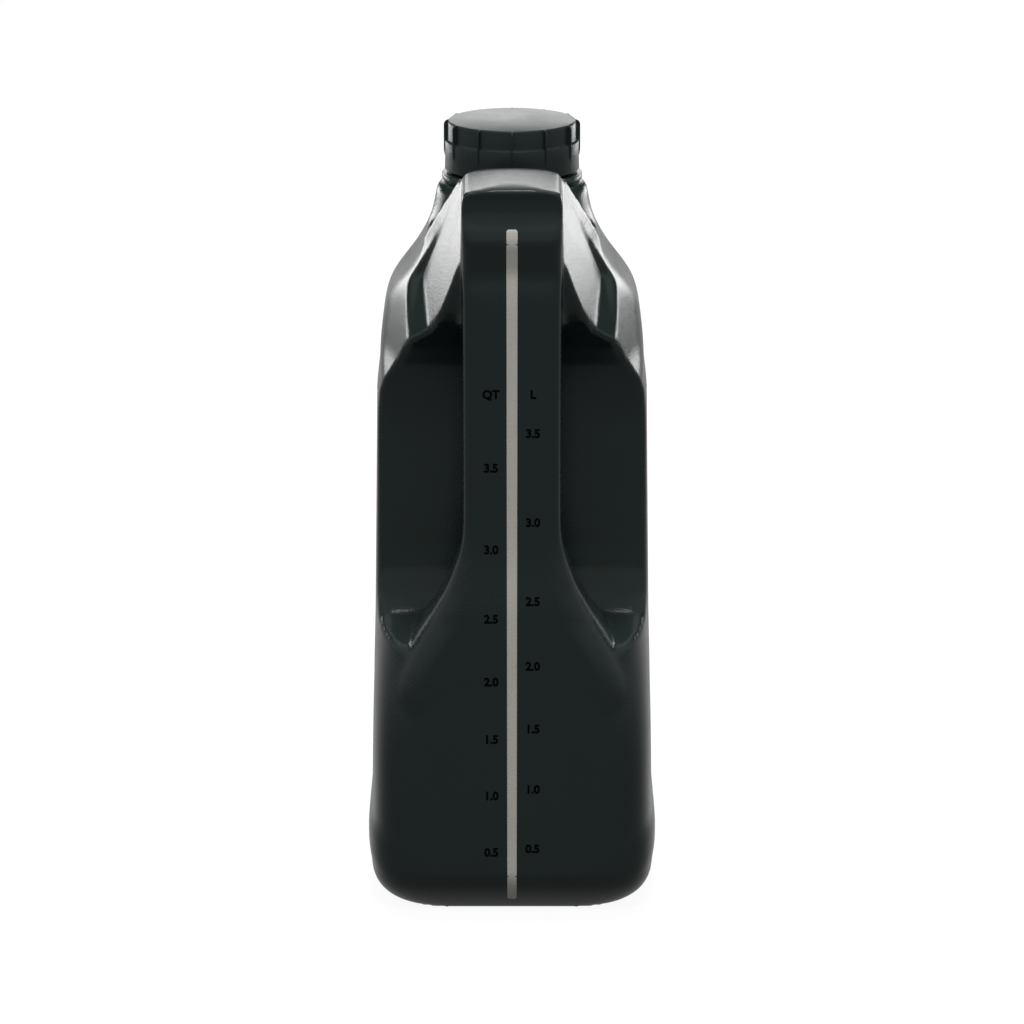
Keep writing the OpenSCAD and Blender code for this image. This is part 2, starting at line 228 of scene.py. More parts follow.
def loft(name, rings):
    """Solid through a stack of rings with equal counts of points."""
    n, m = len(rings[0]), len(rings)
    faces = [[j * n + k, j * n + (k + 1) % n, (j + 1) * n + (k + 1) % n, (j + 1) * n + k]
             for j in range(m - 1) for k in range(n)]
    faces += [list(range(n - 1, -1, -1)), [(m - 1) * n + k for k in range(n)]]
    return new_object(name, np.vstack(rings), faces)


def lathe(name, profile, count=144):
    """Solid turned round the z axis from an open profile that starts and ends on it."""
    a = 2 * np.pi * np.arange(count) / count
    rings = []
    for r, z in profile:
        r = max(r, 1e-4)
        rings.append(np.column_stack([r * np.cos(a), r * np.sin(a), np.full(count, z)]))
    return loft(name, rings)


def boolean(obj, other, kind):
    mod = obj.modifiers.new(kind, "BOOLEAN")
    mod.operation, mod.object, mod.solver = kind, other, "MANIFOLD"
    settle(obj)
    bpy.data.objects.remove(other, do_unlink=True)
    return obj


def settle(obj):
    """Makes the modifiers of an object part of its mesh."""
    bpy.context.view_layer.update()
    evaluated = obj.evaluated_get(bpy.context.evaluated_depsgraph_get())
    mesh = bpy.data.meshes.new_from_object(evaluated)
    obj.modifiers.clear()
    old, obj.data = obj.data, mesh
    bpy.data.meshes.remove(old)
    return obj


def smooth_by_angle(obj, degrees):
    """Smooth shading with the edges left sharp that turn by more than this."""
    obj.data.shade_smooth()
    obj.data.set_sharp_from_angle(angle=math.radians(degrees))
    return obj


def report(obj):
    tris = sum(len(p.vertices) - 2 for p in obj.data.polygons)
    size = [round(v / MM, 1) for v in obj.dimensions]
    print(f"{obj.name}: {tris} triangles, {size} mm")


# %% [markdown]
# ## Handle, roof and the hollows cut into them
#
# The handle is a second loft that stands on the back of the body. Where it meets the foot it
# flares out. A roof joins its top to the neck, with the flanks as its two sides. Then the
# finger bay, the pressed-in flanks, the room round the neck and the thumb scoop are cut.

# %% Handle tables
# pairs of (height, value): half width, back, front and the rounding of the back edges
GRIP_W = [(80, 46), (90, 46), (100, 44), (110, 40), (118, 35.4), (122.7, 32.4), (128, 29.4),
          (134, 26.2), (142, 23), (150, 20.4), (156, 19.3), (165, 19), (250, 19), (262, 19.4),
          (286, 19.4), (290, 19.1), (291.6, 18.7), (292.5, 17.4), (293.4, 14.4), (294.1, 11),
          (294.65, 7.5), (295, 4.5)]
GRIP_BACK = [(80, -3), (90, -1.5), (100, -1.1), (118, -1.2), (126, -1.5), (134, -2.3),
             (142, -3.2), (150, -3.9), (158, -4.3), (166, -4.4), (245, -4.4), (250, -4.5),
             (254, -4.8), (257, -5.2), (260, -5.5), (262, -5), (266, -3.3), (270, -1.5),
             (272, -0.6), (273.5, 0), (276, -0.5), (279, -0.9), (286, -1), (290, -1.1),
             (291.6, -1.2), (292.5, -1.4), (293.4, -2), (294.1, -3.6), (294.65, -6.5), (295, -10)]
GRIP_FRONT = [(80, 60), (118, 60), (128, 66), (140, 71), (156, 73), (230, 73), (236, 71),
              (244, 65), (256, 56), (264, 50), (290, 50), (291.6, 50.4), (292.5, 51),
              (293.4, 52.2), (294.1, 54), (294.65, 56.5), (295, 60)]
GRIP_ROUND = [(80, 12), (90, 12), (100, 13), (118, 14), (128, 11), (142, 7), (156, 5), (290, 5),
              (293.6, 4), (295, 3)]
ROOF_LEVELS = (222, 262, 267, 272.5, 280, 289.5)
ROOF_FRONT = [(222, 58), (250, 36), (262, 32), (267, 33), (272.5, 35.5), (280, 41.5), (290, 50)]
ROOF_MID = [(222, 44), (262, 12), (290, 49.5)]
# pairs of (y, z), seen from the side: the finger bay, and the corners of the pressed flank
BAY = [(-118, 82), (-100, 93), (-97, 98.5), (-93.5, 103.5), (-89, 107.3), (-84, 109.6),
       (-78, 110.8), (-70, 112), (-60, 116), (-54, 122), (-50.8, 131), (-50, 141), (-50, 190),
       (-50.7, 197), (-52, 204), (-53.4, 209.5), (-56, 216), (-62, 225), (-70, 232.5),
       (-76, 238), (-80, 243.5), (-82.5, 251), (-84, 260), (-86, 267), (-90, 272), (-118, 272)]
PRESS = [(-50, 277), (-37, 245.5), (-63.5, 227), (-69.5, 234), (-40.5, 249), (-100, 216),
         (-100, 296)]


def quarter(cx, cy, r, start, n, z):
    a = np.radians(start - 90 * np.arange(n + 1) / n)
    return np.column_stack([cx + r * np.cos(a), cy + r * np.sin(a), np.full(n + 1, z)])


def grip_ring(z, i, n):
    w = float(flow(z, GRIP_W)) - i
    yb = HALF_LEN + float(flow(z, GRIP_BACK)) - i
    yf = float(flow(z, GRIP_FRONT)) + i
    rb, r = float(flow(z, GRIP_ROUND)) - i, 5 - i
    return np.vstack([quarter(w - rb, -yb + rb, rb, 0, n, z),
                      quarter(-w + rb, -yb + rb, rb, -90, n, z),
                      quarter(-w + r, -yf - r, r, 180, n, z),
                      quarter(w - r, -yf - r, r, 90, n, z)])


def roof_ring(z, i):
    f, m = np.interp(z, *zip(*ROOF_FRONT)) + i, np.interp(z, *zip(*ROOF_MID)) + i
    a, b = float(full_w(-f, z)) - i, max(8.0, flank_w(-86, z) - i)
    plan = [(b, -86), (7, -90), (-7, -90), (-b, -86), (-a, -f), (-8, -m), (8, -m), (a, -f)]
    return np.array([(x, y, z) for x, y in plan])


def flank_cut(i, side):
    out = [0, GROOVE_D + 0.8, GROOVE_D + 0.8, 0, 0, 0, 0]
    edge = [0, 1, 2, 5, 6]
    near = [(side * (flank_w(y, z) + out[k] - i), y, z) for k, (y, z) in enumerate(PRESS)]
    far = [(side * (HALF_W + 10), *PRESS[k]) for k in edge]
    faces = [[0, 4, 1], [1, 4, 2], [2, 4, 3], [2, 3, 5], [0, 6, 5, 3, 4], [7, 8, 9, 10, 11]]
    faces += [[edge[k], edge[(k + 1) % 5], 7 + (k + 1) % 5, 7 + k] for k in range(5)]
    return new_object("flank_cut", near + far, faces)


def neck_room(i):
    return loft("neck_room", [np.array([((r + i) * math.cos(a), (r + i) * math.sin(a), z)
                                        for a in np.linspace(0, 2 * np.pi, 96, endpoint=False)])
                              for r, z in ((32.5, SHOULDER_Z), (47, SHOULDER_Z + 40))])


SCOOP = [(278.2, -0.3), (279, 1.0), (280.2, 2.4), (282.8, 3.8), (286, 4.2), (290, 3.9),
         (292.2, 2.6), (293, 0.4)]


def scoop_cut(i):
    rings = []
    for z in np.linspace(278.2 - i, 293.0 + i, 26):
        off = max(0.0, abs(z - 285.6) - 2.4)
        w = 14.2 + math.sqrt(max(0.0, (5 + i) ** 2 - off ** 2))
        y = -HALF_LEN + float(flow(z, SCOOP)) + i
        rings.append(np.array([(w, y, z), (w, -110, z), (-w, -110, z), (-w, y, z)]))
    return loft("scoop_cut", rings)


def grown(outline, g):
    """Side view outline moved outwards, each corner along the mean of its two edges' normals."""
    o = np.asarray(outline, float)
    ahead = np.roll(o, -1, axis=0) - o
    ahead /= np.linalg.norm(ahead, axis=1)[:, None]
    behind = np.roll(ahead, 1, axis=0)
    mean = np.column_stack([ahead[:, 1] + behind[:, 1], -ahead[:, 0] - behind[:, 0]])
    mean /= np.linalg.norm(mean, axis=1)[:, None]
    across = np.maximum(0.5, mean[:, 0] * behind[:, 1] - mean[:, 1] * behind[:, 0])
    return o + mean * g / across[:, None]


def bay_cut(i):
    """The finger bay, flared at each side so that its edges come out round."""
    half = []
    for turn in (90, 75, 60, 45, 30, 15, 0):
        a = math.radians(turn)
        x = HALF_W - 3.7 - BAY_EDGE_R * (1 - math.sin(a))
        half.append((x - i, i + BAY_EDGE_R * (1 - math.cos(a))))
    half.insert(0, (HALF_W + 3.5, i + BAY_EDGE_R + 7))
    rings = [np.column_stack([np.full(len(BAY), side * x), grown(BAY, g)])
             for side, part in ((1, half), (-1, half[::-1])) for x, g in part]
    return loft("bay", rings)


print("handle at mid height:", 2 * float(flow(200, GRIP_W)), "mm wide")


# %% Build one closed form
def build_form(name, i, body_z, grip_z, nf, nb, ng):
    """The outside of the jug (i = 0) or the hollow inside it (i = WALL)."""
    obj = loft(name, [body_ring(z, i, nf, nb) for z in body_z])
    roof = loft("roof", [roof_ring(z - (i if z > 280 else 0), i) for z in ROOF_LEVELS])
    boolean(roof, neck_room(i), "DIFFERENCE")
    boolean(obj, roof, "UNION")
    for side in (1, -1):
        boolean(obj, flank_cut(i, side), "DIFFERENCE")
    boolean(obj, bay_cut(i), "DIFFERENCE")
    handle = loft("handle", [grip_ring(z, i, ng) for z in grip_z])
    boolean(handle, neck_room(i), "DIFFERENCE")
    boolean(obj, handle, "UNION")
    return boolean(obj, scoop_cut(i), "DIFFERENCE")


def base_cut(grow):
    """The push-up under the base, inside the standing rim."""
    edge = HEEL_R + RIM_W - grow
    levels = [(edge, -1), (edge, grow), (edge + PUSH_UP, grow + PUSH_UP * 0.6),
              (edge + 2.4 * PUSH_UP, grow + PUSH_UP)]
    rings = []
    for inset, z in levels:
        ring = body_ring(HEEL_R, inset, 16, 16)
        ring[:, 2] = z
        rings.append(ring)
    return loft("base_cut", rings)


fine_z = np.concatenate([np.arange(0, 15, 0.6), np.arange(15, 40, 1.5), np.arange(40, 190, 5),
                         np.arange(190, SHOULDER_Z, 1.5), [SHOULDER_Z]])
fine_grip = np.concatenate([np.arange(80, 160, 1.5), np.arange(160, 230, 8),
                            np.arange(230, 288, 1.2), np.arange(288, 295, 0.35), [295]])
skin = build_form("skin", 0.0, fine_z, fine_grip, 36, 44, 10)
report(skin)

# %% [markdown]
# ## From sharp solid to moulded skin
#
# A blown wall has no sharp inside or outside edges, since the melt can't fill a corner. A
# voxel remesh turns the joined solids into one even skin, and a few rounds of smoothing give
# each crease the radius that the mould leaves. The collar goes in before, so that it flows
# out of the shoulder.

# %% Collar, then one even skin
collar = lathe("collar", [(0, 250), (35.4, 256), (33.8, 262), (32.4, 265), (31.3, 269),
                          (30, COLLAR_TOP - 3), (28.6, COLLAR_TOP - 0.6), (27.2, COLLAR_TOP),
                          (0, COLLAR_TOP)])
boolean(skin, collar, "UNION")
boolean(skin, base_cut(0), "DIFFERENCE")
VOXEL = 1.15
mod = skin.modifiers.new("even", "REMESH")
mod.mode, mod.voxel_size, mod.adaptivity = "VOXEL", VOXEL * MM, 0
settle(skin)
SOFTEN = 9
mod = skin.modifiers.new("soften", "SMOOTH")
mod.factor, mod.iterations = 0.5, SOFTEN
settle(skin)
# the foot is set flat, and the back is eased in, so that raised figures stay inside the box
FLAT_FOOT, ROOM_FOR_FIGURES = 0.4, 0.25
limit = (-HALF_LEN + ROOM_FOR_FIGURES) * MM
for v in skin.data.vertices:
    v.co.z = max(v.co.z, 0.0) if v.co.z > FLAT_FOOT * MM else 0.0
    if v.co.y < limit:
        v.co.y = limit + 0.1 * (v.co.y - limit)
report(skin)

# %% [markdown]
# ## Neck finish
#
# The part of the neck that the cap seals on is pressed, not blown, so it is crisp. It is
# turned on a lathe, and the thread is a ridge swept along a helix that fades in and out.


# %% Thread and neck
def helix(name, root, depth, z0, width, turns, steps=72):
    n = round(steps * turns)
    out = 1 if depth > 0 else -1
    verts = []
    for k in range(n + 1):
        a, fade = 2 * math.pi * k / steps, min(1, 6 * k / steps, 6 * (n - k) / steps)
        d, z = max(0.05, abs(depth) * fade) * out, z0 + LEAD * k / steps
        for r, dz in ((root - 0.3 * out, -0.5), (root + 0.8 * d, -0.26), (root + d, -0.14),
                      (root + d, 0.14), (root + 0.8 * d, 0.26), (root - 0.3 * out, 0.5)):
            verts.append((r * math.cos(a), r * math.sin(a), z + dz * width))
    faces = [[6 * k + j, 6 * k + (j + 1) % 6, 6 * (k + 1) + (j + 1) % 6, 6 * (k + 1) + j]
             for k in range(n) for j in range(6)]
    faces += [list(range(5, -1, -1)), [6 * n + j for j in range(6)]]
    return new_object(name, verts, faces)


FLANGE_R = 28
finish = lathe("neck_finish", [
    (0, COLLAR_TOP - 3), (26.8, COLLAR_TOP - 3), (26.8, COLLAR_TOP + 0.2), (27.6, COLLAR_TOP + 0.5),
    (FLANGE_R, COLLAR_TOP + 1), (FLANGE_R, FLANGE_TOP - 0.6), (27.8, FLANGE_TOP - 0.2),
    (27.3, FLANGE_TOP), (NECK_R + 0.4, FLANGE_TOP), (NECK_R, FLANGE_TOP + 0.4),
    (NECK_R, NECK_TOP - 0.6), (NECK_R - 0.2, NECK_TOP - 0.2), (NECK_R - 0.6, NECK_TOP),
    (0, NECK_TOP)])
neck_thread_z = NECK_TOP - 3 - LEAD * THREAD_TURNS
neck_thread = helix("neck_thread", NECK_R, THREAD_D, neck_thread_z, THREAD_W, THREAD_TURNS)
boolean(finish, neck_thread, "UNION")
boolean(skin, finish, "UNION")

# %% The hollow, and the way in through the neck
SOFTENED_WALL, CORE_UP = WALL + 0.4, 0.3  # a little more wall, since softening takes some away
core_z = np.array([WALL, 3.2, 6, 10, 15, 24, 35, 60, 113, 150, 190, 205, 214, 224, 233, 242,
                   250, 256, SHOULDER_Z - WALL])
core_grip = np.array([92, 110, 122.7, 134, 142, 150, 165, 230, 238, 250, 256, 264, 272, 280,
                      286, 290])
core = build_form("core", SOFTENED_WALL, core_z + CORE_UP, core_grip, 12, 14, 4)
boolean(core, base_cut(SOFTENED_WALL), "DIFFERENCE")
way_in = lathe("way_in", [(0, 250), (MOUTH_R, 250), (MOUTH_R, NECK_TOP - 0.5),
                          (MOUTH_R + 0.4, NECK_TOP + 1), (0, NECK_TOP + 1)])
funnel = lathe("funnel", [(0, 251.5), (30, 252), (MOUTH_R, 266), (0, 266.5)])
boolean(way_in, funnel, "UNION")
boolean(core, way_in, "UNION")
boolean(skin, core, "DIFFERENCE")
smooth_by_angle(skin, 38)
skin.name = skin.data.name = "blown_body"
report(skin)
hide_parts("jug_body")
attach(skin, "jug")

# %% [markdown]
# ## Level strip
#
# The strip is natural plastic moulded in with the black, so the level shows through it. It is
# flush with the wall. Each point of it is found by shooting a ray at the finished skin, which
# keeps it on the surface where the handle curves.

# %% Fit the strip to the skin
STRIP_TOP_W, STRIP_FOOT_W, STRIP_Z0, STRIP_Z1 = 4.4, 3.7, 6.0, 279.0
STRIP_END, STRIP_DEEP, BOX_GAP = 1.2, 0.7, 0.01
surface = BVHTree.FromPolygons([v.co.copy() for v in skin.data.vertices],
                               [tuple(p.vertices) for p in skin.data.polygons])


def back_of(x, z):
    """Y of the outer back surface, in mm, at x and z."""
    hit = surface.ray_cast(Vector((x * MM, -0.2, z * MM)), Vector((0, 1, 0)))
    return hit[0].y / MM


def strip_width(z):
    w = STRIP_FOOT_W + (STRIP_TOP_W - STRIP_FOOT_W) * z / GRIP_TOP
    end = min(z - STRIP_Z0, STRIP_Z1 - z)
    if end > STRIP_END:
        return w
    return w - 1.6 * (1 - math.sqrt(max(0.0, 1 - (1 - end / STRIP_END) ** 2)))


heights = np.unique(np.concatenate([STRIP_Z0 + np.array([0, 0.15, 0.4, 0.8, STRIP_END]),
                                    np.arange(8, 278, 1.4),
                                    STRIP_Z1 - np.array([STRIP_END, 0.8, 0.4, 0.15, 0])]))
across = [(-1, 0.02), (-0.94, -0.05), (-0.4, -0.07), (0.4, -0.07), (0.94, -0.05), (1, 0.02)]
rings = []
for z in heights:
    w = strip_width(z) / 2
    y0 = back_of(0, z)
    front = [(f * w, max(back_of(f * w, z) + lift, -HALF_LEN + BOX_GAP), z) for f, lift in across]
    rings.append(np.array(front + [(w, y0 + STRIP_DEEP, z), (-w, y0 + STRIP_DEEP, z)]))
level_strip = loft("level_strip_skin", rings)
smooth_by_angle(level_strip, 60)
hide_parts("level_strip")
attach(level_strip, "jug")
report(level_strip)

# %% [markdown]
# ## Level figures
#
# Quarts stand to the left of the strip and litres to the right. They are raised by a hair
# and a little darker than the wall, which is all that sets them off. Each figure is a text
# curve turned into a mesh and laid on the skin.

# %% Raise the figures
FIGURE_SIZE, FIGURE_PROUD, FIGURE_DEEP, FIGURE_X = 4.7, 0.16, 0.3, 8.1
QUARTS = {"QT": 213.5, "3.5": 184.2, "3.0": 151.5, "2.5": 124.2, "2.0": 98.7, "1.5": 75.2,
          "1.0": 52.0, "0.5": 28.5}
LITRES = {"L": 213.5, "3.5": 198.0, "3.0": 162.4, "2.5": 131.2, "2.0": 105.1, "1.5": 79.5,
          "1.0": 54.7, "0.5": 30.0}


def figure(name, text, x, z):
    """Text as a thin solid that follows the back of the jug."""
    curve = bpy.data.curves.new(name, "FONT")
    curve.body, curve.size, curve.align_x, curve.align_y = text, FIGURE_SIZE, "CENTER", "CENTER"
    curve.offset, curve.resolution_u, curve.extrude, curve.space_character = 0.17, 3, 0.5, 0.98
    holder = bpy.data.objects.new(name, curve)
    bpy.context.scene.collection.objects.link(holder)
    bpy.context.view_layer.update()
    evaluated = holder.evaluated_get(bpy.context.evaluated_depsgraph_get())
    mesh = bpy.data.meshes.new_from_object(evaluated)
    bpy.data.objects.remove(holder, do_unlink=True)
    bm = bmesh.new()
    bm.from_mesh(mesh)
    bmesh.ops.remove_doubles(bm, verts=bm.verts, dist=1e-4)
    for v in bm.verts:
        u, w, out = v.co.x + x, v.co.y + z, v.co.z > 0
        y = back_of(u, w)
        y = max(y - FIGURE_PROUD, -HALF_LEN + BOX_GAP) if out else y + FIGURE_DEEP
        v.co = Vector((u, y, w)) * MM
    bmesh.ops.recalc_face_normals(bm, faces=bm.faces)
    bm.to_mesh(mesh)
    bm.free()
    obj = bpy.data.objects.new(name, mesh)
    bpy.context.scene.collection.objects.link(obj)
    return obj


figures = []
for unit, column, x in (("quart", QUARTS, -FIGURE_X), ("litre", LITRES, FIGURE_X)):
    for text, z in column.items():
        name = f"{unit}_{text.replace('.', '_')}"
        figures.append(figure(name, text, x, z))
for obj in figures:
    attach(obj, "jug")
print(len(figures), "figures")

# %% [markdown]
# ## Labels
#
# Each broad side carries an in-mould film label. It is part of the wall, so its edge can
# hardly be felt. It follows the section of the panel, which bows a little along the length.

# %% Label films
LABEL_Y0, LABEL_Y1, LABEL_Z0, LABEL_H, LABEL_R = -42.0, 62.0, 40.0, 163.0, 8.0
FILM_PROUD, FILM_EDGE, FILM_DEEP, FILM_POINTS = 0.09, 0.03, 0.3, 33


def side_x(y, z):
    end, power = (front_y(z), front_pow(z)) if y > 0 else (-back_y(z), back_pow(z))
    return side_w(z) * (1 - (abs(y) / end) ** power) ** (1 / power)


def label_film(name, side):
    """A thin closed sheet over the panel, with rounded corners."""
    rings = []
    for z in np.concatenate([LABEL_Z0 + np.array([0, 0.3, 1, 2, 3.5, 5.5]),
                             np.linspace(LABEL_Z0 + LABEL_R, LABEL_Z0 + LABEL_H - LABEL_R, 40),
                             LABEL_Z0 + LABEL_H - np.array([5.5, 3.5, 2, 1, 0.3, 0])]):
        end = min(z - LABEL_Z0, LABEL_Z0 + LABEL_H - z)
        cut = 0.0
        if end <= LABEL_R:
            cut = LABEL_R - math.sqrt(max(0.0, LABEL_R**2 - (LABEL_R - end) ** 2))
        ys = np.linspace(LABEL_Y0 + cut, LABEL_Y1 - cut, FILM_POINTS)
        lift = np.full(FILM_POINTS, FILM_PROUD)
        lift[[0, -1]] = FILM_EDGE
        outer = [(side * (side_x(y, z) + h), y, z) for y, h in zip(ys, lift)]
        inner = [(side * (side_x(y, z) - FILM_DEEP), y, z) for y in ys[::-1]]
        rings.append(np.array(outer + inner))
    return loft(name, rings)


for name, side, node in (("label_film_right", 1, "label_right"),
                         ("label_film_left", -1, "label_left")):
    film = label_film(name, side)
    smooth_by_angle(film, 40)
    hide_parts(node)
    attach(film, "jug")
    report(film)

# %% [markdown]
# ## Cap
#
# The cap is pressed in a mould that opens upwards, so its top band is a little narrower than
# its skirt. Twelve thin ribs give the fingers a hold. The outside is turned on the lathe, the
# ribs are joined to it, the bore is cut out, and the thread goes in last.

# %% Turn the cap
RIBS, RIB_H, RIB_T = 12, 0.5, 0.7
skirt = CAP_R + CAP_STEP
cap = lathe("screw_cap", [
    (0, CAP_LOW), (skirt - 0.25, CAP_LOW), (skirt + 0.1, CAP_LOW + 0.35),
    (skirt + 0.1, CAP_LOW + 1), (skirt, CAP_LOW + 6), (skirt, TOTAL_H - 8.5),
    (skirt - 0.12, TOTAL_H - 8.15),
    (skirt - 0.45, TOTAL_H - 7.95), (CAP_R + 0.25, TOTAL_H - 7.85), (CAP_R + 0.05, TOTAL_H - 7.6),
    (CAP_R, TOTAL_H - 7.2), (CAP_R, TOTAL_H - 0.75), (CAP_R - 0.1, TOTAL_H - 0.4),
    (CAP_R - 0.35, TOTAL_H - 0.12), (CAP_R - 0.7, TOTAL_H), (0, TOTAL_H)], 180)


def rib(angle):
    """One grip rib: a thin fin with a rounded nose, fading out at its foot."""
    prof = [(CAP_LOW + 4.6, skirt - 0.3), (CAP_LOW + 5.4, skirt + 0.1),
            (CAP_LOW + 7, skirt + RIB_H - 0.08), (CAP_LOW + 8, skirt + RIB_H),
            (TOTAL_H - 1.8, skirt + RIB_H), (TOTAL_H - 1.1, skirt + RIB_H - 0.2),
            (TOTAL_H - 0.45, CAP_R + 0.9), (TOTAL_H - 0.05, CAP_R + 0.3),
            (TOTAL_H - 0.02, CAP_R - 0.6)]
    ca, sa = math.cos(angle), math.sin(angle)
    rings = []
    for z, r in prof:
        section = [(CAP_R - 1, -RIB_T / 2), (r - 0.2, -RIB_T / 2), (r, -RIB_T / 4), (r, RIB_T / 4),
                   (r - 0.2, RIB_T / 2), (CAP_R - 1, RIB_T / 2)]
        rings.append(np.array([(u * ca - v * sa, u * sa + v * ca, z) for u, v in section]))
    return loft("rib", rings)


for k in range(RIBS):
    boolean(cap, rib(math.radians(-90 + 360 * k / RIBS)), "UNION")
bore = NECK_R + THREAD_D + FIT_GAP
inside = lathe("inside", [(0, CAP_LOW - 1), (bore + 0.3, CAP_LOW - 1), (bore + 0.3, CAP_LOW),
                          (bore, CAP_LOW + 0.3), (bore, TOTAL_H - CAP_TOP_T),
                          (0, TOTAL_H - CAP_TOP_T)])
boolean(cap, inside, "DIFFERENCE")
cap_thread_z = neck_thread_z - LEAD / 2
cap_thread = helix("cap_thread", bore, -THREAD_D, cap_thread_z, THREAD_W, THREAD_TURNS)
boolean(cap, cap_thread, "UNION")
smooth_by_angle(cap, 32)
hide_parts("cap")
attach(cap, "cap")
report(cap)

# %% [markdown]
# ## Surface effects shared by the materials
#
# Moulded plastic copies the fine blasted texture of its mould, and it dulls unevenly where
# hands have rubbed it. Both effects are node groups, so that each material can place them
# with its own values. They put out only numbers that change over the surface.


# %% Group helpers
def group(name, inputs, outputs):
    tree = bpy.data.node_groups.new(name, "ShaderNodeTree")
    for label, value in inputs:
        socket = tree.interface.new_socket(label, in_out="INPUT", socket_type="NodeSocketFloat")
        socket.default_value = value
    for label in outputs:
        tree.interface.new_socket(label, in_out="OUTPUT", socket_type="NodeSocketFloat")
    return tree, tree.nodes.new("NodeGroupInput"), tree.nodes.new("NodeGroupOutput")


def node(tree, kind, settings=None, **values):
    made = tree.nodes.new(kind)
    for key, value in (settings or {}).items():
        setattr(made, key, value)
    for key, value in values.items():
        made.inputs[key.replace("_", " ")].default_value = value
    return made


def maths(tree, operation, a, b):
    made = node(tree, "ShaderNodeMath", {"operation": operation})
    for slot_number, value in enumerate((a, b)):
        if isinstance(value, (int, float)):
            made.inputs[slot_number].default_value = value
        else:
            tree.links.new(value, made.inputs[slot_number])
    return made.outputs[0]


# %% Mould grain and handling wear
grain, grain_in, grain_out = group("mould grain", [("Size", 0.5), ("Mix", 0.5)],
                                   ["Height", "Speckle"])
place = node(grain, "ShaderNodeTexCoord")
freq = maths(grain, "DIVIDE", 1000.0, grain_in.outputs["Size"])
fine = node(grain, "ShaderNodeTexNoise", Detail=2.0, Roughness=0.6)
cells = node(grain, "ShaderNodeTexVoronoi")
for tex, factor in ((fine, 1.0), (cells, 0.7)):
    grain.links.new(place.outputs["Object"], tex.inputs["Vector"])
    grain.links.new(maths(grain, "MULTIPLY", freq, factor), tex.inputs["Scale"])
blend = node(grain, "ShaderNodeMix", {"data_type": "FLOAT"})
grain.links.new(grain_in.outputs["Mix"], blend.inputs[0])
grain.links.new(fine.outputs[0], blend.inputs[2])
grain.links.new(cells.outputs["Distance"], blend.inputs[3])
grain.links.new(blend.outputs[0], grain_out.inputs["Height"])
grain.links.new(fine.outputs[0], grain_out.inputs["Speckle"])

wear, wear_in, wear_out = group("handling wear", [("Size", 30.0), ("Low", 0.25), ("High", 0.4)],
                                ["Roughness", "Mask"])
place = node(wear, "ShaderNodeTexCoord")
cloud = node(wear, "ShaderNodeTexNoise", Detail=5.0, Roughness=0.62, Distortion=0.3)
wear.links.new(place.outputs["Object"], cloud.inputs["Vector"])
wear.links.new(maths(wear, "DIVIDE", 1000.0, wear_in.outputs["Size"]), cloud.inputs["Scale"])
spread = node(wear, "ShaderNodeMapRange", {"interpolation_type": "SMOOTHSTEP"})
wear.links.new(cloud.outputs[0], spread.inputs["Value"])
spread.inputs["From Min"].default_value, spread.inputs["From Max"].default_value = 0.3, 0.7
wear.links.new(wear_in.outputs["Low"], spread.inputs["To Min"])
wear.links.new(wear_in.outputs["High"], spread.inputs["To Max"])
wear.links.new(spread.outputs[0], wear_out.inputs["Roughness"])
wear.links.new(cloud.outputs[0], wear_out.inputs["Mask"])
print("groups:", [g.name for g in bpy.data.node_groups])


# %% A moulded plastic
def moulded(name, dark, light, rough, grain_mm, grain_depth, specular, mix=0.4):
    """Plastic with two close colours, uneven gloss and the mould's grain."""
    mat = bpy.data.materials.new(name)
    mat.use_nodes = True
    tree = mat.node_tree
    shader = tree.nodes["Principled BSDF"]
    shader.inputs["Specular IOR Level"].default_value = specular
    g, w = (node(tree, "ShaderNodeGroup", {"node_tree": t}) for t in (grain, wear))
    g.inputs["Size"].default_value, g.inputs["Mix"].default_value = grain_mm, mix
    w.inputs["Low"].default_value, w.inputs["High"].default_value = rough
    colour = node(tree, "ShaderNodeMix", {"data_type": "RGBA"})
    colour.inputs[6].default_value, colour.inputs[7].default_value = (*dark, 1), (*light, 1)
    tree.links.new(w.outputs["Mask"], colour.inputs[0])
    tree.links.new(colour.outputs[2], shader.inputs["Base Color"])
    tree.links.new(w.outputs["Roughness"], shader.inputs["Roughness"])
    bump = node(tree, "ShaderNodeBump", Strength=1.0, Distance=grain_depth * MM)
    tree.links.new(g.outputs["Height"], bump.inputs["Height"])
    tree.links.new(bump.outputs[0], shader.inputs["Normal"])
    return mat


def dress(obj, mat):
    obj.data.materials.clear()
    obj.data.materials.append(mat)
    for poly in obj.data.polygons:
        poly.material_index = 0


# colours, range of roughness, grain in mm, depth of grain in mm, specular
black = moulded("black plastic", (0.0165, 0.0252, 0.0244), (0.0215, 0.0315, 0.0306),
                (0.16, 0.21), 0.62, 0.085, 0.12)
cap_black = moulded("cap plastic", (0.0145, 0.0222, 0.0215), (0.0195, 0.0285, 0.0277),
                    (0.28, 0.36), 0.62, 0.110, 0.14)
figure_black = moulded("figure gloss", (0.0006, 0.0009, 0.0009), (0.0012, 0.0016, 0.0016),
                       (0.35, 0.45), 0.5, 0.004, 0.02)
pale = moulded("natural plastic", (0.56, 0.545, 0.50), (0.70, 0.685, 0.635),
               (0.36, 0.48), 0.6, 0.16, 0.25)
foam = moulded("wad foam", (0.62, 0.60, 0.55), (0.74, 0.72, 0.67),
               (0.7, 0.85), 0.4, 0.05, 0.3, 0.9)
dress(skin, black)
dress(cap, cap_black)
dress(level_strip, pale)
for obj in figures:
    dress(obj, figure_black)
dress(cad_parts["cap_liner"], foam)

# %% [markdown]
# ## Label finish
#
# The print is left as plain fields of colour: a dark head, rose, charcoal, amber brown and a
# dark foot, with thin pale rules between the lower ones. They follow the height on the jug.

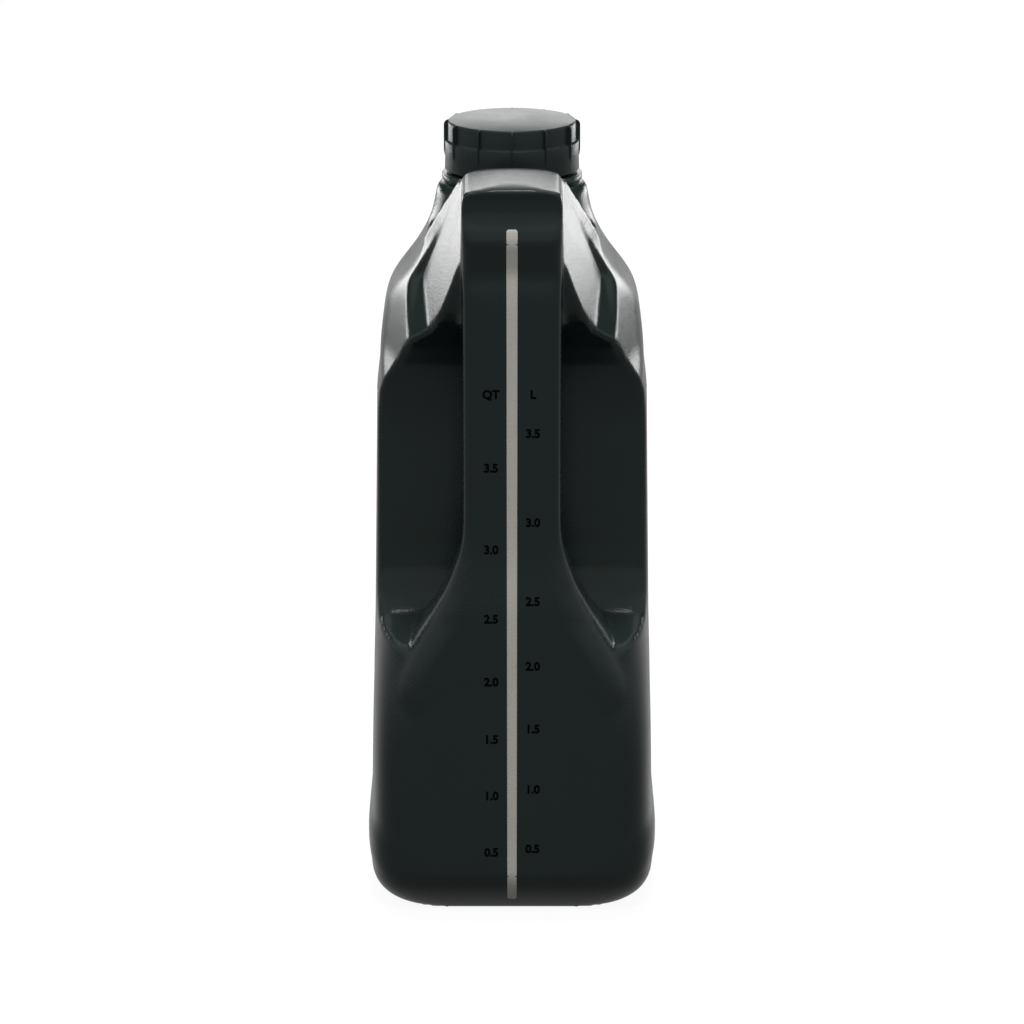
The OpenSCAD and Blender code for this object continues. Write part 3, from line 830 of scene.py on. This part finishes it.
# %% Label material
FIELDS = [(40, (0.012, 0.013, 0.015)), (66, (0.50, 0.47, 0.42)), (67.2, (0.30, 0.085, 0.022)),
          (100, (0.50, 0.47, 0.42)), (101.2, (0.030, 0.033, 0.036)), (152, (0.50, 0.47, 0.42)),
          (153.2, (0.42, 0.13, 0.12)), (196, (0.025, 0.025, 0.028))]
film_mat = bpy.data.materials.new("label film")
film_mat.use_nodes = True
tree = film_mat.node_tree
shader = tree.nodes["Principled BSDF"]
shader.inputs["Specular IOR Level"].default_value = 0.3
shader.inputs["Coat Weight"].default_value = 0.12
shader.inputs["Coat Roughness"].default_value = 0.12
place = node(tree, "ShaderNodeTexCoord")
parts = node(tree, "ShaderNodeSeparateXYZ")
tree.links.new(place.outputs["Object"], parts.inputs[0])
height = node(tree, "ShaderNodeMapRange")
for label, value in (("From Min", LABEL_Z0 * MM), ("From Max", (LABEL_Z0 + LABEL_H) * MM)):
    height.inputs[label].default_value = value
tree.links.new(parts.outputs[2], height.inputs["Value"])
ramp = node(tree, "ShaderNodeValToRGB")
ramp.color_ramp.interpolation = "CONSTANT"
while len(ramp.color_ramp.elements) < len(FIELDS):
    ramp.color_ramp.elements.new(0.5)
for stop, (z, rgb) in zip(ramp.color_ramp.elements, FIELDS):
    stop.position, stop.color = (z - LABEL_Z0) / LABEL_H, (*rgb, 1)
tree.links.new(height.outputs[0], ramp.inputs[0])
w = node(tree, "ShaderNodeGroup", {"node_tree": wear})
w.inputs["Low"].default_value, w.inputs["High"].default_value = 0.22, 0.34
g = node(tree, "ShaderNodeGroup", {"node_tree": grain})
g.inputs["Size"].default_value = 0.8
tone = node(tree, "ShaderNodeMix", {"data_type": "RGBA", "blend_type": "MULTIPLY"})
tone.inputs[0].default_value = 0.12
tree.links.new(ramp.outputs[0], tone.inputs[6])
tree.links.new(w.outputs["Mask"], tone.inputs[7])
tree.links.new(tone.outputs[2], shader.inputs["Base Color"])
tree.links.new(w.outputs["Roughness"], shader.inputs["Roughness"])
bump = node(tree, "ShaderNodeBump", Strength=1.0, Distance=0.006 * MM)
tree.links.new(g.outputs["Height"], bump.inputs["Height"])
tree.links.new(bump.outputs[0], shader.inputs["Normal"])
for name in ("label_film_right", "label_film_left"):
    dress(bpy.data.objects[name], film_mat)
print("materials:", [m.name for m in bpy.data.materials])

# %% [markdown]
# ## Floor, light and camera
#
# Gloss on black shows nothing but what stands round it, so the room matters more than the
# lamps. The room shows as white to the camera and in reflections, and lights the object more
# softly than that. The floor shows as pale to the camera, and only in part in reflections,
# which keeps the heel dark. The back panel is mirrored in the tops, and a small panel close to
# each flank makes it bright. Dark cards keep the white room out of the sides.


# %% Floor and room
def seen_ray(tree, mirrored_share=1.0):
    """1 for the eye, a share of it for mirrored and see-through rays, 0 for light on the jug."""
    path = node(tree, "ShaderNodeLightPath").outputs
    mirrored = maths(tree, "MAXIMUM", path["Is Glossy Ray"], path["Is Transmission Ray"])
    dimmed = maths(tree, "MULTIPLY", mirrored, mirrored_share)
    return maths(tree, "MAXIMUM", path["Is Camera Ray"], dimmed)


FLOOR_R, FLOOR_BASE, FLOOR_GLOW, FLOOR_MIRRORED = 14, 0.13, 0.93, 0.4
bpy.ops.mesh.primitive_circle_add(vertices=96, radius=FLOOR_R, fill_type="NGON",
                                  location=(0, 0, 0))
floor = bpy.context.object
floor.name = "floor"
floor_mat = bpy.data.materials.new("pale floor")
floor_mat.use_nodes = True
tree = floor_mat.node_tree
shader = tree.nodes["Principled BSDF"]
shader.inputs["Base Color"].default_value = (FLOOR_BASE, FLOOR_BASE, FLOOR_BASE, 1)
shader.inputs["Roughness"].default_value = 0.9
shader.inputs["Specular IOR Level"].default_value = 0.1
shader.inputs["Emission Color"].default_value = (1, 1, 1, 1)
glow = maths(tree, "MULTIPLY", seen_ray(tree, FLOOR_MIRRORED), FLOOR_GLOW)
tree.links.new(glow, shader.inputs["Emission Strength"])
dress(floor, floor_mat)

world = bpy.data.worlds.new("room")
bpy.context.scene.world = world
world.use_nodes = True
tree = world.node_tree
back = tree.nodes["Background"]
ROOM_LIGHT = 0.28
extra = maths(tree, "MULTIPLY", seen_ray(tree), 1 - ROOM_LIGHT)
tree.links.new(maths(tree, "ADD", ROOM_LIGHT, extra), back.inputs["Strength"])
back.inputs["Color"].default_value = (1, 1, 1, 1)


# %% Lamps
AIM = (0, 0, 0.16)


def turn_to(obj, place, aim):
    obj.location = place
    obj.rotation_euler = (Vector(aim) - Vector(place)).to_track_quat("-Z", "Y").to_euler()


def panel(name, place, size, power, aim=AIM):
    """A lamp that lights the jug and is mirrored in it, but isn't seen itself."""
    lamp = bpy.data.lights.new(name, "AREA")
    lamp.shape, lamp.size, lamp.size_y, lamp.energy = "RECTANGLE", *size, power
    obj = bpy.data.objects.new(name, lamp)
    bpy.context.scene.collection.objects.link(obj)
    turn_to(obj, place, aim)
    obj.visible_camera = False
    return obj


def card(name, place, size, aim=AIM):
    """A dark card that keeps the white room out of some reflections."""
    hx, hy = size[0] / 2 / MM, size[1] / 2 / MM
    corners = [(-hx, -hy, 0), (hx, -hy, 0), (hx, hy, 0), (-hx, hy, 0)]
    obj = new_object(name, corners, [(0, 1, 2, 3)])
    turn_to(obj, place, aim)
    obj.visible_camera = obj.visible_shadow = obj.visible_diffuse = False
    dress(obj, card_mat)


card_mat = bpy.data.materials.new("dark card")
card_mat.use_nodes = True
shader = card_mat.node_tree.nodes["Principled BSDF"]
shader.inputs["Base Color"].default_value = (0.01, 0.01, 0.01, 1)
shader.inputs["Specular IOR Level"].default_value = 0.0
# name, place in metres, size in metres, power in watts
panel("top panel", (0, 0.04, 2.1), (0.32, 0.32), 19)
panel("front panel", (0, -1.2, 1.55), (0.4, 0.4), 11).visible_glossy = False
panel("back panel", (0, 1.9, 0.72), (1.3, 0.7), 4.6)
for side in (1, -1):
    panel("flank panel", (side * 0.36, 0.45, 0.245), (0.30, 0.08), 0.42, (0, 0, 0.26))
    card("dark card", (side * 1.1, 1.25, 0.78), (1.5, 1.1), (0, 0, 0.3))

# %% Camera
LENS_MM, CAMERA_PLACE, CAMERA_DOWN = 161.128, (0, -1.8, 0.6466), 15.704
cam = bpy.data.cameras.new("camera")
cam.sensor_width, cam.lens, cam.clip_end = 36, LENS_MM, 50
camera = bpy.data.objects.new("camera", cam)
camera.location = CAMERA_PLACE
camera.rotation_euler = (math.radians(90 - CAMERA_DOWN), 0, 0)
bpy.context.scene.collection.objects.link(camera)
bpy.context.scene.camera = camera
bpy.context.scene.view_settings.view_transform = "Standard"
